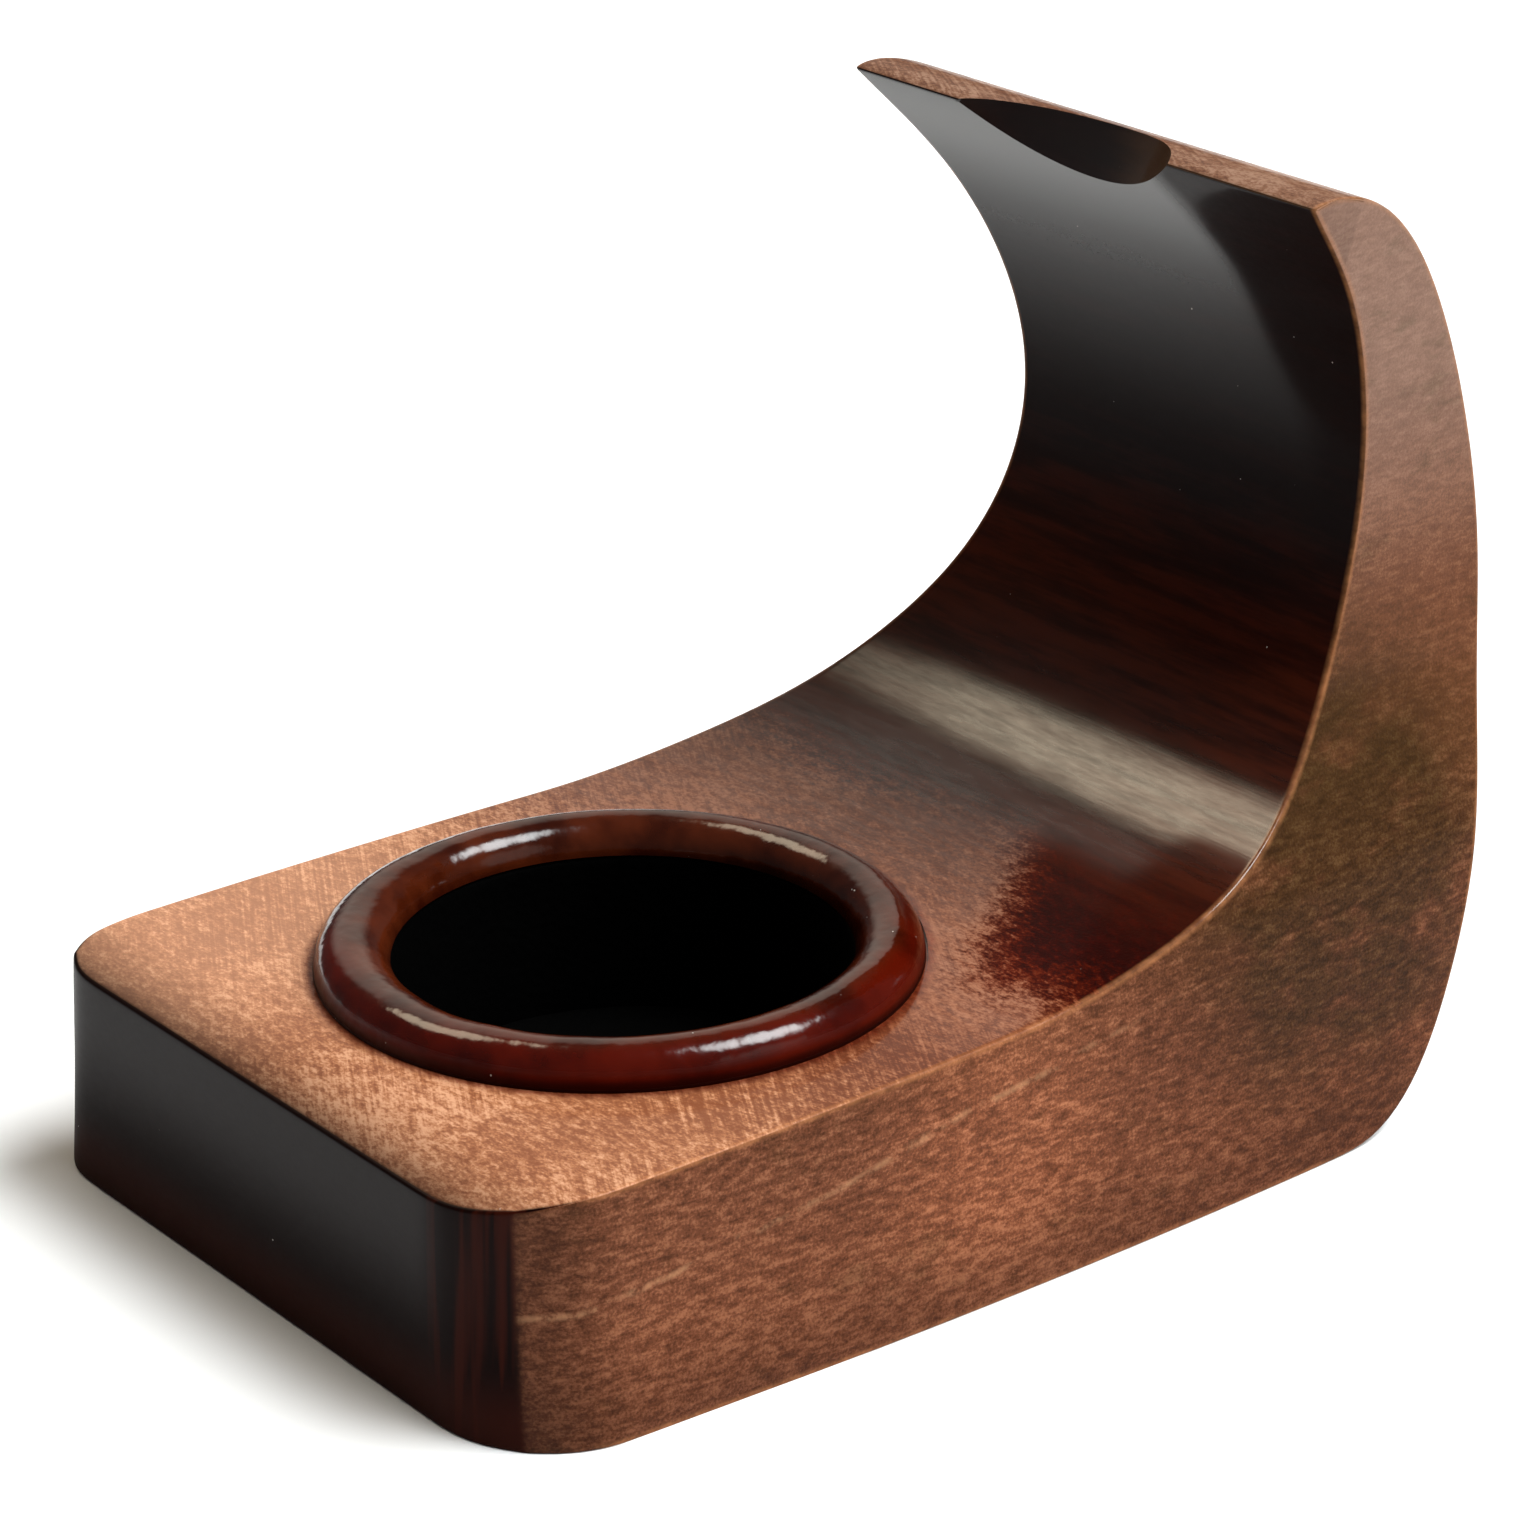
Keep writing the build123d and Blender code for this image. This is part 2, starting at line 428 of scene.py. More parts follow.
def mark_worn_edges(obj):
    """Stores how near each vertex is to the long edges between the sides and the rest, from 0 to 1."""
    compared_at_once = 2000
    count = len(obj.data.vertices)
    places = np.empty(count * 3)
    obj.data.vertices.foreach_get("co", places)
    x, y, z = places.reshape(-1, 3).T / MM
    behind = y - FRONT
    to_side = half_width(behind, z) - np.abs(x)
    outline = np.vstack([UPPER_LINE, LAND, LOWER_LINE[::-1]])
    side_view = np.stack([behind, z], axis=-1)
    to_outline = np.full(count, WORN_REACH)
    near = np.flatnonzero(to_side < WORN_REACH)
    for chunk in np.array_split(near, max(1, len(near) // compared_at_once)):
        gaps = np.linalg.norm(side_view[chunk, None] - outline[None], axis=2)
        to_outline[chunk] = gaps.min(axis=1)
    nearness = np.clip(1 - np.maximum(to_side, to_outline) / WORN_REACH, 0, 1)
    attribute = obj.data.attributes.new("edge", "FLOAT", "POINT")
    attribute.data.foreach_set("value", nearness.astype(np.float32))


def keep_inside(obj, lowest, highest):
    """Holds each vertex inside a box, which takes off no more than rounding errors."""
    for vertex in obj.data.vertices:
        vertex.co = [min(max(c, lo), hi) for c, lo, hi in zip(vertex.co, lowest, highest)]


def make_body():
    """The one-piece wooden body."""
    obj = object_from("body", *shell_of(body_lattice()))
    outward(obj)
    subdivide(obj, 2)
    cut(obj, cup_cutter())
    cut(obj, notch_cutter())
    keep_inside(obj, *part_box("wooden_body"))
    shade_smooth(obj)
    mark_worn_edges(obj)
    return obj


# ---------------------------------------------------------------- ring, lining and pad

def make_ring():
    """Round bead on a thin foot, with its spigot, and the slight unevenness of a hand-finished ring."""
    swell_size = 9
    chamfer = 0.04
    foot_angle = -np.degrees(np.arcsin((BEAD_HEIGHT - FOOT_THICKNESS) / BEAD_R))
    section = [
        *arc((BEAD_CENTRE_R, BEAD_HEIGHT), BEAD_R, 180, foot_angle, 44),
        (FOOT_R - chamfer / 2, FOOT_THICKNESS), (FOOT_R, FOOT_THICKNESS - chamfer),
        (FOOT_R, CLEARANCE), (COUNTERBORE_R, CLEARANCE),
        (COUNTERBORE_R, -COUNTERBORE_DEPTH), (BORE_R, -COUNTERBORE_DEPTH), (BORE_R, BEAD_HEIGHT),
    ]
    obj = revolved("ring", section, steps=256)
    for vertex in obj.data.vertices:
        p = vertex.co / MM
        r = p.xy.length
        swell = noise.noise(Vector((p.x, p.y, 0)) / swell_size) * min(1, max(0, p.z - 0.5))
        vertex.co.z -= UNEVENNESS * MM * abs(swell) * 2
        inwards = UNEVENNESS * swell
        if p.z > 0.9 * BEAD_HEIGHT and r < BEAD_CENTRE_R:
            share = max(0, THICKEST_TOWARDS.dot(p.xy) / r) ** 3
            inwards += THICKENING * share * (BEAD_CENTRE_R - r) / BEAD_R
        vertex.co.x *= 1 - inwards / r
        vertex.co.y *= 1 - inwards / r
    put_in_cup(obj)
    shade_smooth(obj, 50)
    return obj


def make_lining():
    """Sleeve with a softly rounded upper lip, slightly creased like a strip of thin leather."""
    crease_depth = 0.08
    lip = 0.5
    outer = BORE_R - CLEARANCE
    low, high = PAD_THICKNESS - BORE_DEPTH, BEAD_HEIGHT - CLEARANCE
    wall = [(LINING_R, z) for z in np.linspace(low, high - lip, 24)]
    section = [*wall, *arc((LINING_R + lip, high - lip), lip, 180, 90, 5)[1:], (outer, high), (outer, low)]
    obj = revolved("lining", section, steps=192)
    for vertex in obj.data.vertices:
        p = vertex.co / MM
        if p.xy.length < LINING_R + 0.3:
            crease = max(0, crease_depth * noise.noise(Vector((p.x / 2.2, p.y / 2.2, p.z / 5))))
            vertex.co.x *= 1 + crease / LINING_R
            vertex.co.y *= 1 + crease / LINING_R
    put_in_cup(obj)
    shade_smooth(obj, 50)
    return obj


def make_pad():
    """Felt disc with a slightly uneven top."""
    pit_depth, pit_size = 0.12, 1.7
    innermost = 1.0
    outer = BORE_R - CLEARANCE
    low, high = CLEARANCE - BORE_DEPTH, PAD_THICKNESS - BORE_DEPTH
    rings = [(innermost, low), (outer, low), (outer, high - 0.1)]
    rings += [(r, high) for r in np.linspace(outer - 0.15, innermost, 30)]
    obj = drum("pad", rings, steps=96)
    for vertex in obj.data.vertices:
        p = vertex.co / MM
        if p.z > high - 0.05 and p.xy.length < LINING_R:
            vertex.co.z -= pit_depth * MM * abs(noise.noise(Vector((p.x, p.y, 0)) / pit_size))
    put_in_cup(obj)
    shade_smooth(obj, 50)
    return obj


# ---------------------------------------------------------------- materials

def rgba(colour):
    return (*colour, 1)


class Tree:
    """Short calls for building a material or world node tree."""

    def __init__(self, owner):
        owner.use_nodes = True
        self.tree = owner.node_tree

    def node(self, kind, inputs=(), **settings):
        """New node with its settings, and with a link or a value for each input named."""
        made = self.tree.nodes.new(kind)
        for name, value in settings.items():
            setattr(made, name, value)
        for key, value in dict(inputs).items():
            self.put(made.inputs[key], value)
        return made

    def put(self, socket, value):
        """Links another node's output to a socket, or sets the socket's own value."""
        if isinstance(value, bpy.types.NodeSocket):
            self.tree.links.new(value, socket)
        else:
            socket.default_value = value

    def math(self, operation, a, b=0.0, c=0.0, clamp=False):
        made = self.node("ShaderNodeMath", {0: a, 1: b, 2: c}, operation=operation, use_clamp=clamp)
        return made.outputs[0]

    def times(self, product, *factors):
        """Product of numbers."""
        for factor in factors:
            product = self.math("MULTIPLY", product, factor)
        return product

    def without(self, mask):
        """Where the mask isn't."""
        return self.math("SUBTRACT", 1.0, mask)

    def swung(self, base, value, reach):
        """Base number moved up and down by a value that varies around a half."""
        return self.math("MULTIPLY_ADD", self.math("SUBTRACT", value, 0.5), reach, base)

    def smooth(self, value, low, high, to_low=0.0, to_high=1.0):
        """Soft step between two numbers as the value passes from low to high."""
        made = self.node(
            "ShaderNodeMapRange",
            {"Value": value, "From Min": low, "From Max": high, "To Min": to_low, "To Max": to_high},
            interpolation_type="SMOOTHSTEP",
        )
        return made.outputs["Result"]

    def noise(self, vector, scale=1.0, detail=3.0, roughness=0.55):
        made = self.node(
            "ShaderNodeTexNoise",
            {"Vector": vector, "Scale": scale, "Detail": detail, "Roughness": roughness},
        )
        return made.outputs["Fac"]

    def stretched(self, vector, scale):
        return self.node("ShaderNodeMapping", {"Vector": vector, "Scale": scale}).outputs["Vector"]

    def streaks(self, vector, scale, detail=3.0, roughness=0.55):
        """Noise with its own scale along each axis."""
        return self.noise(self.stretched(vector, scale), 1.0, detail, roughness)

    def distance(self, place, centre):
        made = self.node("ShaderNodeVectorMath", {0: place, 1: centre}, operation="DISTANCE")
        return made.outputs["Value"]

    def mix(self, factor, a, b, blend="MIX"):
        """Colour that runs from a to b with the factor."""
        made = self.node("ShaderNodeMix", {0: factor}, data_type="RGBA", blend_type=blend, clamp_factor=True)
        self.put(made.inputs[6], a)
        self.put(made.inputs[7], b)
        return made.outputs[2]

    def clouded(self, factor, dark_and_light):
        """Colour that runs from the dark one of a pair to the light one."""
        dark, light = dark_and_light
        return self.mix(factor, rgba(dark), rgba(light))

    def stained(self, colour, stain):
        """Colour seen through a stain."""
        return self.mix(1.0, colour, rgba(stain), "MULTIPLY")

    def blend(self, factor, a, b):
        """Number that runs from a to b with the factor."""
        return self.node("ShaderNodeMix", {0: factor, 2: a, 3: b}).outputs[0]

    def ramp(self, factor, stops):
        """Colour from (position, colour) stops."""
        made = self.node("ShaderNodeValToRGB", {0: factor})
        elements = made.color_ramp.elements
        while len(elements) < len(stops):
            elements.new(0.5)
        for element, (position, colour) in zip(elements, stops):
            element.position = position
            element.color = rgba(colour)
        return made.outputs["Color"]

    def bump(self, height, distance, under=None):
        """Normal bent by a height, on top of another bump's normal if there is one."""
        made = self.node("ShaderNodeBump", {"Height": height, "Distance": distance, "Strength": 1.0})
        if under is not None:
            self.put(made.inputs["Normal"], under)
        return made.outputs["Normal"]


def shader_of(name):
    """New material, with its tree helper and its Principled shader."""
    material = bpy.data.materials.new(name)
    tree = Tree(material)
    return material, tree, tree.tree.nodes["Principled BSDF"]


def place_in_mm(t):
    """Place on the object in millimetres."""
    place = t.node("ShaderNodeTexCoord").outputs["Object"]
    made = t.node("ShaderNodeVectorMath", {0: place, 1: (1000, 1000, 1000)}, operation="MULTIPLY")
    return made.outputs[0]


def radius_from_cup(t, mm):
    """Distance from the cup's middle, seen from above."""
    return t.distance(t.stretched(mm, (1, 1, 0)), (0, FRONT + CUP_BEHIND_FRONT, 0))


# Wood from its dark flecks to its light ones: the deck, the sides, kept darker than the deck partly as
# painted shade, and the sides high on the arm, whose pinkish grey is partly a painted sheen
DECK_COPPER = [(0.0, (0.21, 0.067, 0.028)), (0.5, (0.38, 0.152, 0.070)), (1.0, (0.59, 0.30, 0.168))]
SHADED_SIDE_COPPER = [(0.0, (0.055, 0.017, 0.007)), (0.5, (0.137, 0.045, 0.020)), (1.0, (0.27, 0.107, 0.053))]
UPPER_ARM_WITH_SHEEN = [(0.0, (0.165, 0.090, 0.064)), (0.5, (0.250, 0.146, 0.106)), (1.0, (0.340, 0.212, 0.163))]
# Paler copper for the front left of the deck, as painted light
LIT_COPPER = (0.90, 0.52, 0.33)

# Tint of the sides by height, as shares of TINT_HEIGHT: reddish at the foot, olive in the middle
ARM_TINT = [
    (0.0, (1.0, 0.92, 0.85)), (0.22, (1.0, 1.0, 1.0)), (0.38, (0.78, 0.88, 0.78)), (0.55, (0.92, 1.0, 1.0)),
]
TINT_HEIGHT = 75.0

# The deck's stains, which also paint the arm's shadow on the deck, darkest in the patch right of the ring,
# as (depth where it starts, depth where it is full, what it lets through)
RED_STAIN = (0.25, 0.050, 0.014)
DECK_STAINS_AND_ARM_SHADE = [(29, 48, (0.52, 0.38, 0.33)), (58, 63, RED_STAIN), (59, 66, (0.070, 0.005, 0.0012))]
LAND_STAIN = (0.48, 0.52, 0.60)
SLATE_STAIN = (0.42, 0.50, 0.40)

# End grain from its black to its red mottles, then the other marks on the wood
END_GRAIN = [(0.0040, 0.0004, 0.0001), (0.026, 0.0034, 0.0010)]
# Red of a painted glow low on the inner curve
PAINTED_GLOW = (0.058, 0.0085, 0.0020)
# Olive-brown sheen painted into the notch's right end
NOTCH_OLIVE_SHEEN = (0.040, 0.016, 0.005)
MINERAL = (0.42, 0.21, 0.105)
DUST = (0.5, 0.46, 0.42)
WORN = (0.48, 0.20, 0.08)

SAW_SLANT = radians(30)
# Painted light: a paler patch is painted low on the +X side round this middle
PAINTED_LIGHT_MIDDLE = (28.6, -7, 12.6)      # middle of the paler area on the +X side
DARK_HEEL = (25, 29, 22)            # middle of the slate area on the +X side

# Ring: its inside and its outside, each from dark clouds to light ones, and its foot, nearly black as
# painted shade where it meets the wood
AMBER = [(0.020, 0.0020, 0.0004), (0.072, 0.0118, 0.0030)]
WINE = [(0.024, 0.0007, 0.0001), (0.066, 0.0034, 0.0006)]
RING_FOOT_SHADE = (0.008, 0.0006, 0.0002)
# At the foot the reflections are darkened as painted shade
GLINT_TINT_AND_FOOT_SHADE = [(1.0, 1.0, 1.0), (0.30, 0.06, 0.03)]      # tint of the reflections, above the foot and on it

# Lining and felt, from their dark clouds to their light ones, far blacker than leather and felt as painted
# shade deep in the cup
BLACK_LEATHER_AND_CUP_SHADE = [(0.0003, 0.0003, 0.0003), (0.0009, 0.0008, 0.0008)]
BLACK_FELT_AND_CUP_SHADE = [(0.0003, 0.0003, 0.0003), (0.0012, 0.0011, 0.001)]


class Wood:
    """The stained wood, which changes with place on the stand."""

    def __init__(self, t):
        self.t = t
        self.mm = place_in_mm(t)
        self.x, self.y, self.z = t.node("ShaderNodeSeparateXYZ", {0: self.mm}).outputs
        self.behind = t.math("SUBTRACT", self.y, FRONT)
        facing = t.node("ShaderNodeNewGeometry").outputs["Normal"]
        self.nx, self.ny, self.nz = t.node("ShaderNodeSeparateXYZ", {0: facing}).outputs
        self.upward = t.smooth(self.nz, 0.45, 0.8)
        self.make_patterns()
        self.make_masks()

    def make_patterns(self):
        """Flecks run across the width on upward faces and along the length on the sides."""
        t, mm = self.t, self.mm
        ray_flecks = t.streaks(mm, (0.8, 1.7, 1.7), 5.0, 0.64)
        side_flecks = t.streaks(mm, (1.0, 0.62, 2.1), 4.0, 0.62)
        flecks = t.blend(self.upward, side_flecks, ray_flecks)
        self.fine = t.streaks(mm, (3.0, 4.6, 4.6), 3.0, 0.6)
        self.grain = t.math("MULTIPLY_ADD", self.fine, 0.42, t.times(flecks, 0.58))
        self.broad = t.streaks(mm, (0.05, 0.025, 0.07))
        turned = t.node("ShaderNodeVectorRotate", {"Vector": mm, "Angle": SAW_SLANT}, rotation_type="Z_AXIS")
        self.sawn = t.streaks(turned.outputs[0], (0.035, 3.4, 3.4), 3.0, 0.6)
        self.mottle = t.streaks(mm, (0.07, 0.7, 0.7), 5.0, 0.62)
        self.polish = t.streaks(mm, (0.22, 1.5, 1.5), 5.0, 0.7)

    def make_masks(self):
        """Where the end grain, the land, the front and the notch are, and how deep the deck's stain and the
        arm's painted shadow reach.
        """
        t, behind = self.t, self.behind
        self.on_land = t.times(t.smooth(self.z, 71.8, 72.4), t.smooth(self.nz, 0.6, 0.75))
        self.in_front = t.smooth(behind, 12.0, 14.0, 1.0, 0.0)
        self.near_corner = t.times(self.in_front, t.smooth(self.x, 18.0, 22.0))
        self.in_notch = t.times(
            t.smooth(self.z, 63.5, 64.0),
            t.smooth(self.nz, -0.30, -0.22),
            t.smooth(behind, 76.0, 76.4, 1.0, 0.0),
            t.smooth(t.math("ABSOLUTE", self.nx), 0.97, 0.98, 1.0, 0.0),
        )
        self.backward = t.smooth(self.ny, 0.35, 0.85)
        round_the_corner = t.times(t.smooth(behind, 9.0, 10.0, 1.0, 0.0), t.smooth(self.nx, 0.60, 0.76))
        forward = t.times(t.smooth(t.times(self.ny, -1.0), 0.10, 0.42), t.without(round_the_corner))
        end = t.math("MAXIMUM", t.math("MAXIMUM", forward, self.backward), self.in_notch)
        self.end = t.times(end, t.without(self.on_land))
        depth = t.swung(behind, self.broad, 14.0)
        # Deeper on the +X side, where the dark patch right of the ring is painted shade of the arm
        depth = t.math("MULTIPLY_ADD", t.smooth(self.x, 7.0, 20.0), 12.5, depth)
        self.stain_and_shade_depth = t.swung(depth, self.grain, -16.0)

    def fleck_spread(self):
        """Flecks and saw marks together, from the darkest to the lightest."""
        t, upward = self.t, self.upward
        tone = t.swung(self.grain, self.broad, t.blend(upward, 0.22, 0.5))
        sawn_patches = t.smooth(t.noise(self.mm, 0.07, 2.0), 0.38, 0.60, 0.12, 0.50)
        tone = t.swung(tone, self.sawn, t.times(upward, sawn_patches))
        return t.smooth(tone, t.blend(upward, 0.32, 0.35), t.blend(upward, 0.72, 0.655))

    def deck(self, spread):
        """Copper, paler at the front left as painted light, darkened towards the arm by stain and the arm's
        painted shadow, stained round the ring, with a pinkish land on the tip.
        """
        t = self.t
        # Painted light: the deck is paler towards its front left
        pale = t.times(t.smooth(self.x, -20.0, 2.0, 0.2, 0.0), t.smooth(self.behind, 20.0, 42.0, 1.0, 0.0))
        copper = colour = t.mix(pale, t.ramp(spread, DECK_COPPER), rgba(LIT_COPPER))
        # Stain together with the arm's painted shadow, deepening towards the arm
        for start, full, stain in DECK_STAINS_AND_ARM_SHADE:
            colour = t.mix(t.smooth(self.stain_and_shade_depth, start, full), colour, t.stained(copper, stain))
        colour = t.mix(self.on_land, colour, t.stained(copper, LAND_STAIN))
        ragged_radius = t.math("MULTIPLY_ADD", self.fine, -1.9, radius_from_cup(t, self.mm))
        seep = t.smooth(ragged_radius, 21.1, 22.0, 0.8, 0.0)
        return t.mix(seep, colour, t.stained(copper, RED_STAIN))

    def sides(self, spread):
        """Brown, kept darker than the deck partly as painted shade and darkened towards the front and the
        foot as painted shade, with a painted light patch low on the +X side, turning olive and then pinkish
        grey up the arm, where the pinkish grey is partly a painted sheen.
        """
        t, z = self.t, self.z
        spread = t.swung(0.5, spread, t.smooth(z, 17.0, 32.0, 1.0, 0.55))
        tint = t.ramp(t.math("DIVIDE", z, TINT_HEIGHT), ARM_TINT)
        colour = t.mix(1.0, t.ramp(spread, SHADED_SIDE_COPPER), tint, "MULTIPLY")
        # Painted shade, darker towards the front and the foot, and painted light round the paler middle on
        # the +X side
        shade = t.times(
            t.smooth(self.behind, 2.0, 12.0, 0.62, 1.0),
            t.smooth(z, 0.5, 9.0, 0.68, 1.0),
            t.smooth(t.distance(self.mm, PAINTED_LIGHT_MIDDLE), 3.0, 15.0, 1.55, 1.0),
        )
        colour = t.mix(1.0, colour, shade, "MULTIPLY")
        # Up the arm the colour turns pinkish grey, partly a painted sheen
        return t.mix(t.smooth(z, 36, 62, 0.0, 0.9), colour, t.ramp(spread, UPPER_ARM_WITH_SHEEN))

    def slated(self, colour):
        """The sides with slate patches."""
        t = self.t
        cloud = t.streaks(self.mm, (0.22, 0.13, 0.26), 6.0, 0.64)
        near_heel = t.smooth(t.distance(self.mm, DARK_HEEL), 6, 25, 1.3, 0.0)
        slate = t.math("MULTIPLY", t.smooth(cloud, 0.16, 0.60), near_heel, clamp=True)
        scattered = t.times(t.smooth(cloud, 0.56, 0.68), 0.4)
        slate = t.times(t.math("MAXIMUM", slate, scattered), t.without(self.upward))
        return t.mix(slate, colour, t.stained(colour, SLATE_STAIN))

    def streaked(self, colour):
        """The +X side with one pale mineral streak."""
        t = self.t
        wander = t.streaks(self.mm, (0.02, 0.05, 0.05), 3.0, 0.4)
        rise = t.math("MULTIPLY_ADD", wander, 7.0, t.math("MULTIPLY_ADD", self.y, -0.14, self.z))
        streak = t.times(
            t.smooth(t.math("ABSOLUTE", t.math("SUBTRACT", rise, 20.0)), 0.0, 0.42, 1.0, 0.0),
            t.smooth(t.noise(self.mm, 0.55, 4.0, 0.7), 0.40, 0.62),
            t.smooth(self.nx, 0.5, 0.8),
            t.smooth(self.behind, 44, 62, 1.0, 0.0),
            0.5,
        )
        return t.mix(streak, colour, rgba(MINERAL))

    def end_grain(self):
        """Nearly black, with red at the foot, the near corner and the bottom of the inner curve, where a
        painted red glow adds to the red mottles, and a painted olive sheen at the notch's right end.
        """
        t, z, mottle = self.t, self.z, self.mottle
        reddish = t.times(t.smooth(mottle, 0.45, 0.7), t.smooth(z, 36.0, 48.0, 1.0, 0.12))
        upright = t.smooth(t.streaks(self.mm, (0.9, 0.9, 0.03), 2.0), 0.45, 0.62)
        front_red = t.math("MAXIMUM", t.times(self.near_corner, upright), t.smooth(z, 1.5, 6.5, 0.75, 0.0))
        colour = t.clouded(t.blend(self.in_front, reddish, front_red), END_GRAIN)
        # Painted red glow low on the inner curve, in mottles
        glowing = t.times(
            t.smooth(z, 30, 46, 0.75, 0.0),
            t.smooth(mottle, 0.30, 0.62, 0.35, 1.0),
            t.smooth(self.behind, 55, 62),
        )
        colour = t.mix(glowing, colour, rgba(PAINTED_GLOW))
        # Painted sheen: olive brown towards the notch's right end
        olive = t.times(self.in_notch, t.smooth(t.math("MULTIPLY_ADD", mottle, 4.0, self.x), 1.0, 9.0))
        return t.mix(olive, colour, rgba(NOTCH_OLIVE_SHEEN))

    def worn(self, colour):
        """Long edges rubbed back to bare wood in places."""
        t = self.t
        edge = t.node("ShaderNodeAttribute", attribute_name="edge").outputs["Fac"]
        broken = t.math("MULTIPLY_ADD", t.noise(self.mm, 0.8, 3.0), 1.6, -0.25)
        rubbed = t.math("MULTIPLY", t.smooth(edge, 0.4, 0.85), broken, clamp=True)
        return t.mix(t.times(rubbed, 0.5), colour, rgba(WORN))

    def colour(self):
        """Base colour of the whole body, with specks of dust on the end grain."""
        t = self.t
        spread = self.fleck_spread()
        long_grain = self.streaked(self.slated(t.mix(self.upward, self.sides(spread), self.deck(spread))))
        colour = self.worn(t.mix(self.end, long_grain, self.end_grain()))
        dust = t.times(t.smooth(t.noise(self.mm, 1.9, 1.0), 0.825, 0.84), self.end)
        return t.mix(dust, colour, rgba(DUST))

    def coat(self):
        """Lacquer: thick on the inner curve and the deck, thin on the sides and where it has soaked in."""
        t, x, z, polish = self.t, self.x, self.z, self.polish
        slanting = t.math("MULTIPLY_ADD", z, 0.3, x)
        arm = t.times(t.smooth(z, 46.0, 70.0, 0.008, 0.64), t.smooth(slanting, 26.5, 31.0, 1.0, 0.22))
        low = t.times(
            t.smooth(z, 27.0, 36.0, 1.0, 0.008),
            t.smooth(polish, 0.25, 0.75, 0.62, 1.2),
            t.smooth(x, -25.0, -6.0, 0.42, 1.0),
        )
        off_corner = t.math("MULTIPLY_ADD", self.near_corner, -0.75, 1.0)
        front = t.times(t.smooth(z, 4.5, 14.0, 0.0, 0.17), off_corner)
        end = t.blend(self.in_front, t.math("MAXIMUM", arm, low), front)
        end = t.blend(self.backward, end, 0.16)
        end = t.blend(self.in_notch, end, 0.04)
        deck = t.times(t.smooth(self.behind, 28, 50, 0.35, 0.95), t.smooth(polish, 0.25, 0.75, 0.7, 1.15))
        deck = t.blend(self.on_land, deck, 0.3)
        coat = t.blend(self.end, t.blend(self.upward, 0.06, deck), end)
        soaked = t.times(
            t.smooth(self.stain_and_shade_depth, 57, 62),
            t.smooth(x, 4.0, 11.0),
            t.smooth(z, 22.1, 23.4, 1.0, 0.0),
        )
        return t.blend(soaked, coat, 0.05)

    def relief(self):
        """Open grain and faint saw marks, nearly filled on the end grain."""
        t = self.t
        filled = t.math("MULTIPLY_ADD", self.end, -0.95, 1.0)
        return t.bump(self.sawn, 0.004 * MM, t.bump(t.times(self.grain, filled), 0.09 * MM))

    def lacquer_lines(self):
        """Fine lines in the lacquer, which end below the upper arm."""
        t = self.t
        lines = t.times(t.streaks(self.mm, (0.05, 5.0, 5.0), 2.0), t.smooth(self.z, 38.0, 48.0, 1.0, 0.0))
        return t.bump(lines, 0.0012 * MM)


def wood_material():
    """Stained hardwood under a clear lacquer."""
    material, t, shader = shader_of("stained wood")
    wood = Wood(t)
    t.put(shader.inputs["Base Color"], wood.colour())
    t.put(shader.inputs["Roughness"], t.math("MULTIPLY_ADD", wood.grain, 0.2, 0.45))
    t.put(shader.inputs["Normal"], wood.relief())
    t.put(shader.inputs["Coat Weight"], wood.coat())
    t.put(shader.inputs["Coat Normal"], wood.lacquer_lines())
    shader.inputs["Specular IOR Level"].default_value = 0.04
    shader.inputs["Coat Roughness"].default_value = 0.11
    shader.inputs["Coat IOR"].default_value = 1.5
    return material


def ring_material():
    """Amber inside, dark red outside, and at the very foot duller, and nearly black with darkened
    reflections as painted shade where it meets the wood.
    """
    material, t, shader = shader_of("glossy ring")
    mm = place_in_mm(t)
    r = radius_from_cup(t, mm)
    cloud = t.smooth(t.noise(mm, 0.18, 3.0), 0.3, 0.7)
    outside = t.smooth(t.math("MULTIPLY_ADD", cloud, 0.8, r), 19.4, 21.6)
    colour = t.mix(outside, t.clouded(cloud, AMBER), t.clouded(cloud, WINE))
    # Painted shade: the very foot, where the ring meets the wood, is nearly black
    colour = t.mix(t.smooth(r, 21.82, 21.93), colour, rgba(RING_FOOT_SHADE))
    dust = t.smooth(t.noise(mm, 2.3, 1.0), 0.80, 0.82)
    t.put(shader.inputs["Base Color"], t.mix(dust, colour, rgba(DUST)))
    at_foot = t.smooth(r, 21.5, 21.85)
    # Painted shade: the reflections are darkened at the foot
    t.put(shader.inputs["Specular Tint"], t.clouded(at_foot, GLINT_TINT_AND_FOOT_SHADE))
    polish = t.math("MULTIPLY_ADD", t.noise(mm, 0.6, 4.0), 0.14, 0.06)
    t.put(shader.inputs["Roughness"], t.blend(at_foot, polish, 0.55))
    shader.inputs["IOR"].default_value = 1.52
    waves = t.math("MULTIPLY_ADD", t.noise(mm, 0.9, 2.0), 0.22, t.noise(mm, 0.30, 2.0))
    t.put(shader.inputs["Normal"], t.bump(waves, 0.14 * MM))
    return material


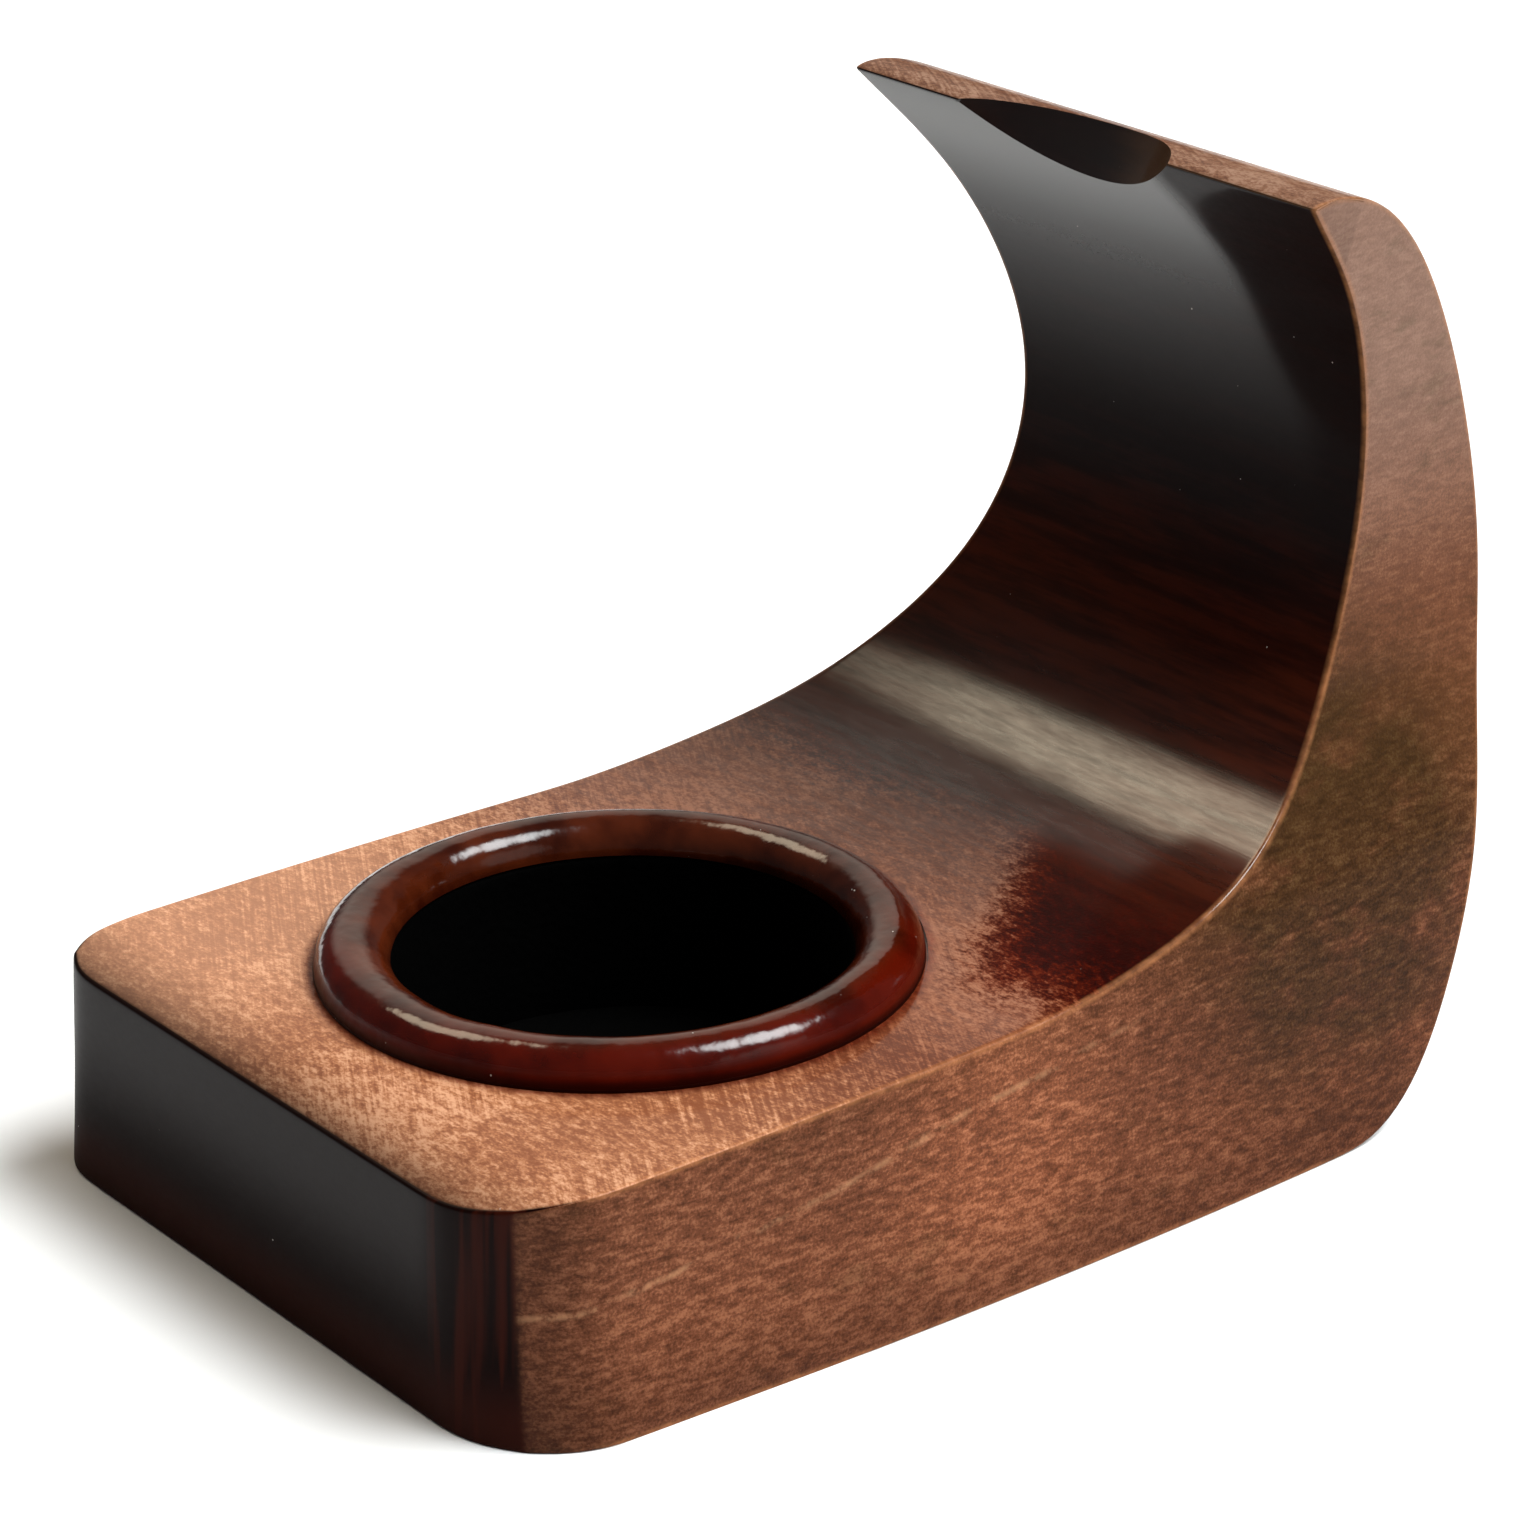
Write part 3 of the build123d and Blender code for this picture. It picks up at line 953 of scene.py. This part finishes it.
def lining_material():
    """Thin black leather with a fine pebble, coloured far blacker than leather as painted shade deep in the
    cup.
    """
    material, t, shader = shader_of("black lining")
    mm = place_in_mm(t)
    cells = t.node("ShaderNodeTexVoronoi", {"Vector": mm, "Scale": 1.6}, feature="SMOOTH_F1")
    pebble = cells.outputs["Distance"]
    t.put(shader.inputs["Base Color"], t.clouded(t.noise(mm, 0.3, 3.0), BLACK_LEATHER_AND_CUP_SHADE))
    t.put(shader.inputs["Roughness"], t.math("MULTIPLY_ADD", pebble, 0.15, 0.72))
    shader.inputs["Specular IOR Level"].default_value = 0.04
    t.put(shader.inputs["Normal"], t.bump(pebble, 0.06 * MM))
    return material


def felt_material():
    """Black felt with short fibres, coloured far blacker than felt as painted shade deep in the cup."""
    material, t, shader = shader_of("black felt")
    fibres = t.streaks(place_in_mm(t), (5.0, 2.0, 4.0), 5.0, 0.7)
    t.put(shader.inputs["Base Color"], t.clouded(fibres, BLACK_FELT_AND_CUP_SHADE))
    shader.inputs["Roughness"].default_value = 0.95
    shader.inputs["Specular IOR Level"].default_value = 0.05
    t.put(shader.inputs["Normal"], t.bump(fibres, 0.15 * MM))
    return material


def floor_material():
    """Matte, pale and even."""
    material, _, shader = shader_of("pale floor")
    shader.inputs["Base Color"].default_value = (0.9, 0.9, 0.9, 1)
    shader.inputs["Roughness"].default_value = 0.9
    shader.inputs["Specular IOR Level"].default_value = 0.1
    return material


# ---------------------------------------------------------------- studio

# Key light as (azimuth, elevation, width, strength, colour), with angles in degrees
KEY_LIGHT = (50, 49, 60, 3.3, (0.97, 0.99, 1.0))

# Softboxes as (azimuth, elevation, radius in degrees, soft rim in degrees, colour, brightness)
SOFTBOXES = [
    (40, 62, 6, 12, (0.95, 0.99, 1.0), 14.0),
    (-95, 54, 7, 7, (1.0, 0.84, 0.62), 5.6),
    (-60, 30, 12, 14, (1.0, 0.90, 0.78), 0.75),
    (72, 24, 12, 8, (1.0, 0.96, 0.90), 0.5),
]
AMBIENT = 0.06
FLOOR_REACH = 9000          # half the floor's width in millimetres


def direction(azimuth, elevation):
    """Unit vector towards a compass azimuth (0 along +Y, 90 along +X) and an elevation."""
    a, e = radians(azimuth), radians(elevation)
    return Vector((sin(a) * cos(e), cos(a) * cos(e), sin(e)))


def make_camera():
    """Camera at the stand's usual three-quarter view."""
    a, e, r = radians(CAMERA_AZIMUTH), radians(CAMERA_ELEVATION), radians(CAMERA_ROLL)
    back = Vector((sin(a) * cos(e), -cos(a) * cos(e), sin(e)))
    right = Vector((cos(a), sin(a), 0))
    up = back.cross(right)
    right, up = right * cos(r) + up * sin(r), up * cos(r) - right * sin(r)
    data = bpy.data.cameras.new("camera")
    data.sensor_width = SENSOR
    data.lens = FOCAL_LENGTH
    camera = bpy.data.objects.new("camera", data)
    turn = Matrix((right, up, back)).transposed()
    camera.matrix_world = Matrix.Translation(CAMERA_TARGET + back * CAMERA_DISTANCE) @ turn.to_4x4()
    bpy.context.scene.collection.objects.link(camera)
    bpy.context.scene.camera = camera


def make_sun():
    """Wide soft key light that lights surfaces but isn't mirrored in them."""
    azimuth, elevation, angle, strength, colour = KEY_LIGHT
    data = bpy.data.lights.new("key light", "SUN")
    data.angle = radians(angle)
    data.energy = strength
    data.color = colour
    sun = bpy.data.objects.new("key light", data)
    sun.rotation_euler = direction(azimuth, elevation).to_track_quat("Z", "Y").to_euler()
    sun.visible_glossy = False
    bpy.context.scene.collection.objects.link(sun)


def make_world():
    """Dim studio with soft round lights, which the lacquer mirrors."""
    world = bpy.data.worlds.new("studio")
    bpy.context.scene.world = world
    t = Tree(world)
    towards = t.node("ShaderNodeTexCoord").outputs["Generated"]
    towards = t.node("ShaderNodeVectorMath", {0: towards}, operation="NORMALIZE").outputs[0]
    light = (AMBIENT, AMBIENT, AMBIENT, 1)
    for azimuth, elevation, radius, rim, colour, brightness in SOFTBOXES:
        box = {0: towards, 1: direction(azimuth, elevation)}
        nearness = t.node("ShaderNodeVectorMath", box, operation="DOT_PRODUCT").outputs["Value"]
        glow = t.smooth(nearness, cos(radians(radius + rim)), cos(radians(radius)))
        light = t.mix(glow, light, rgba([c * brightness for c in colour]))
    background = t.tree.nodes["Background"]
    t.put(background.inputs["Color"], light)
    background.inputs["Strength"].default_value = 1.0


def make_floor():
    """Plain pale floor."""
    corners = [(sx * FLOOR_REACH, sy * FLOOR_REACH, 0) for sx, sy in ((-1, -1), (1, -1), (1, 1), (-1, 1))]
    floor = object_from("floor", corners, [(0, 1, 2, 3)])
    floor.data.materials.append(floor_material())


finish_piece(make_body(), "wooden_body", wood_material())
finish_piece(make_ring(), "rim_ring", ring_material())
finish_piece(make_lining(), "cup_lining", lining_material())
pad = make_pad()
finish_piece(pad, "cup_pad", felt_material())

make_camera()
make_sun()
make_world()
make_floor()
bpy.context.scene.view_settings.view_transform = "Standard"
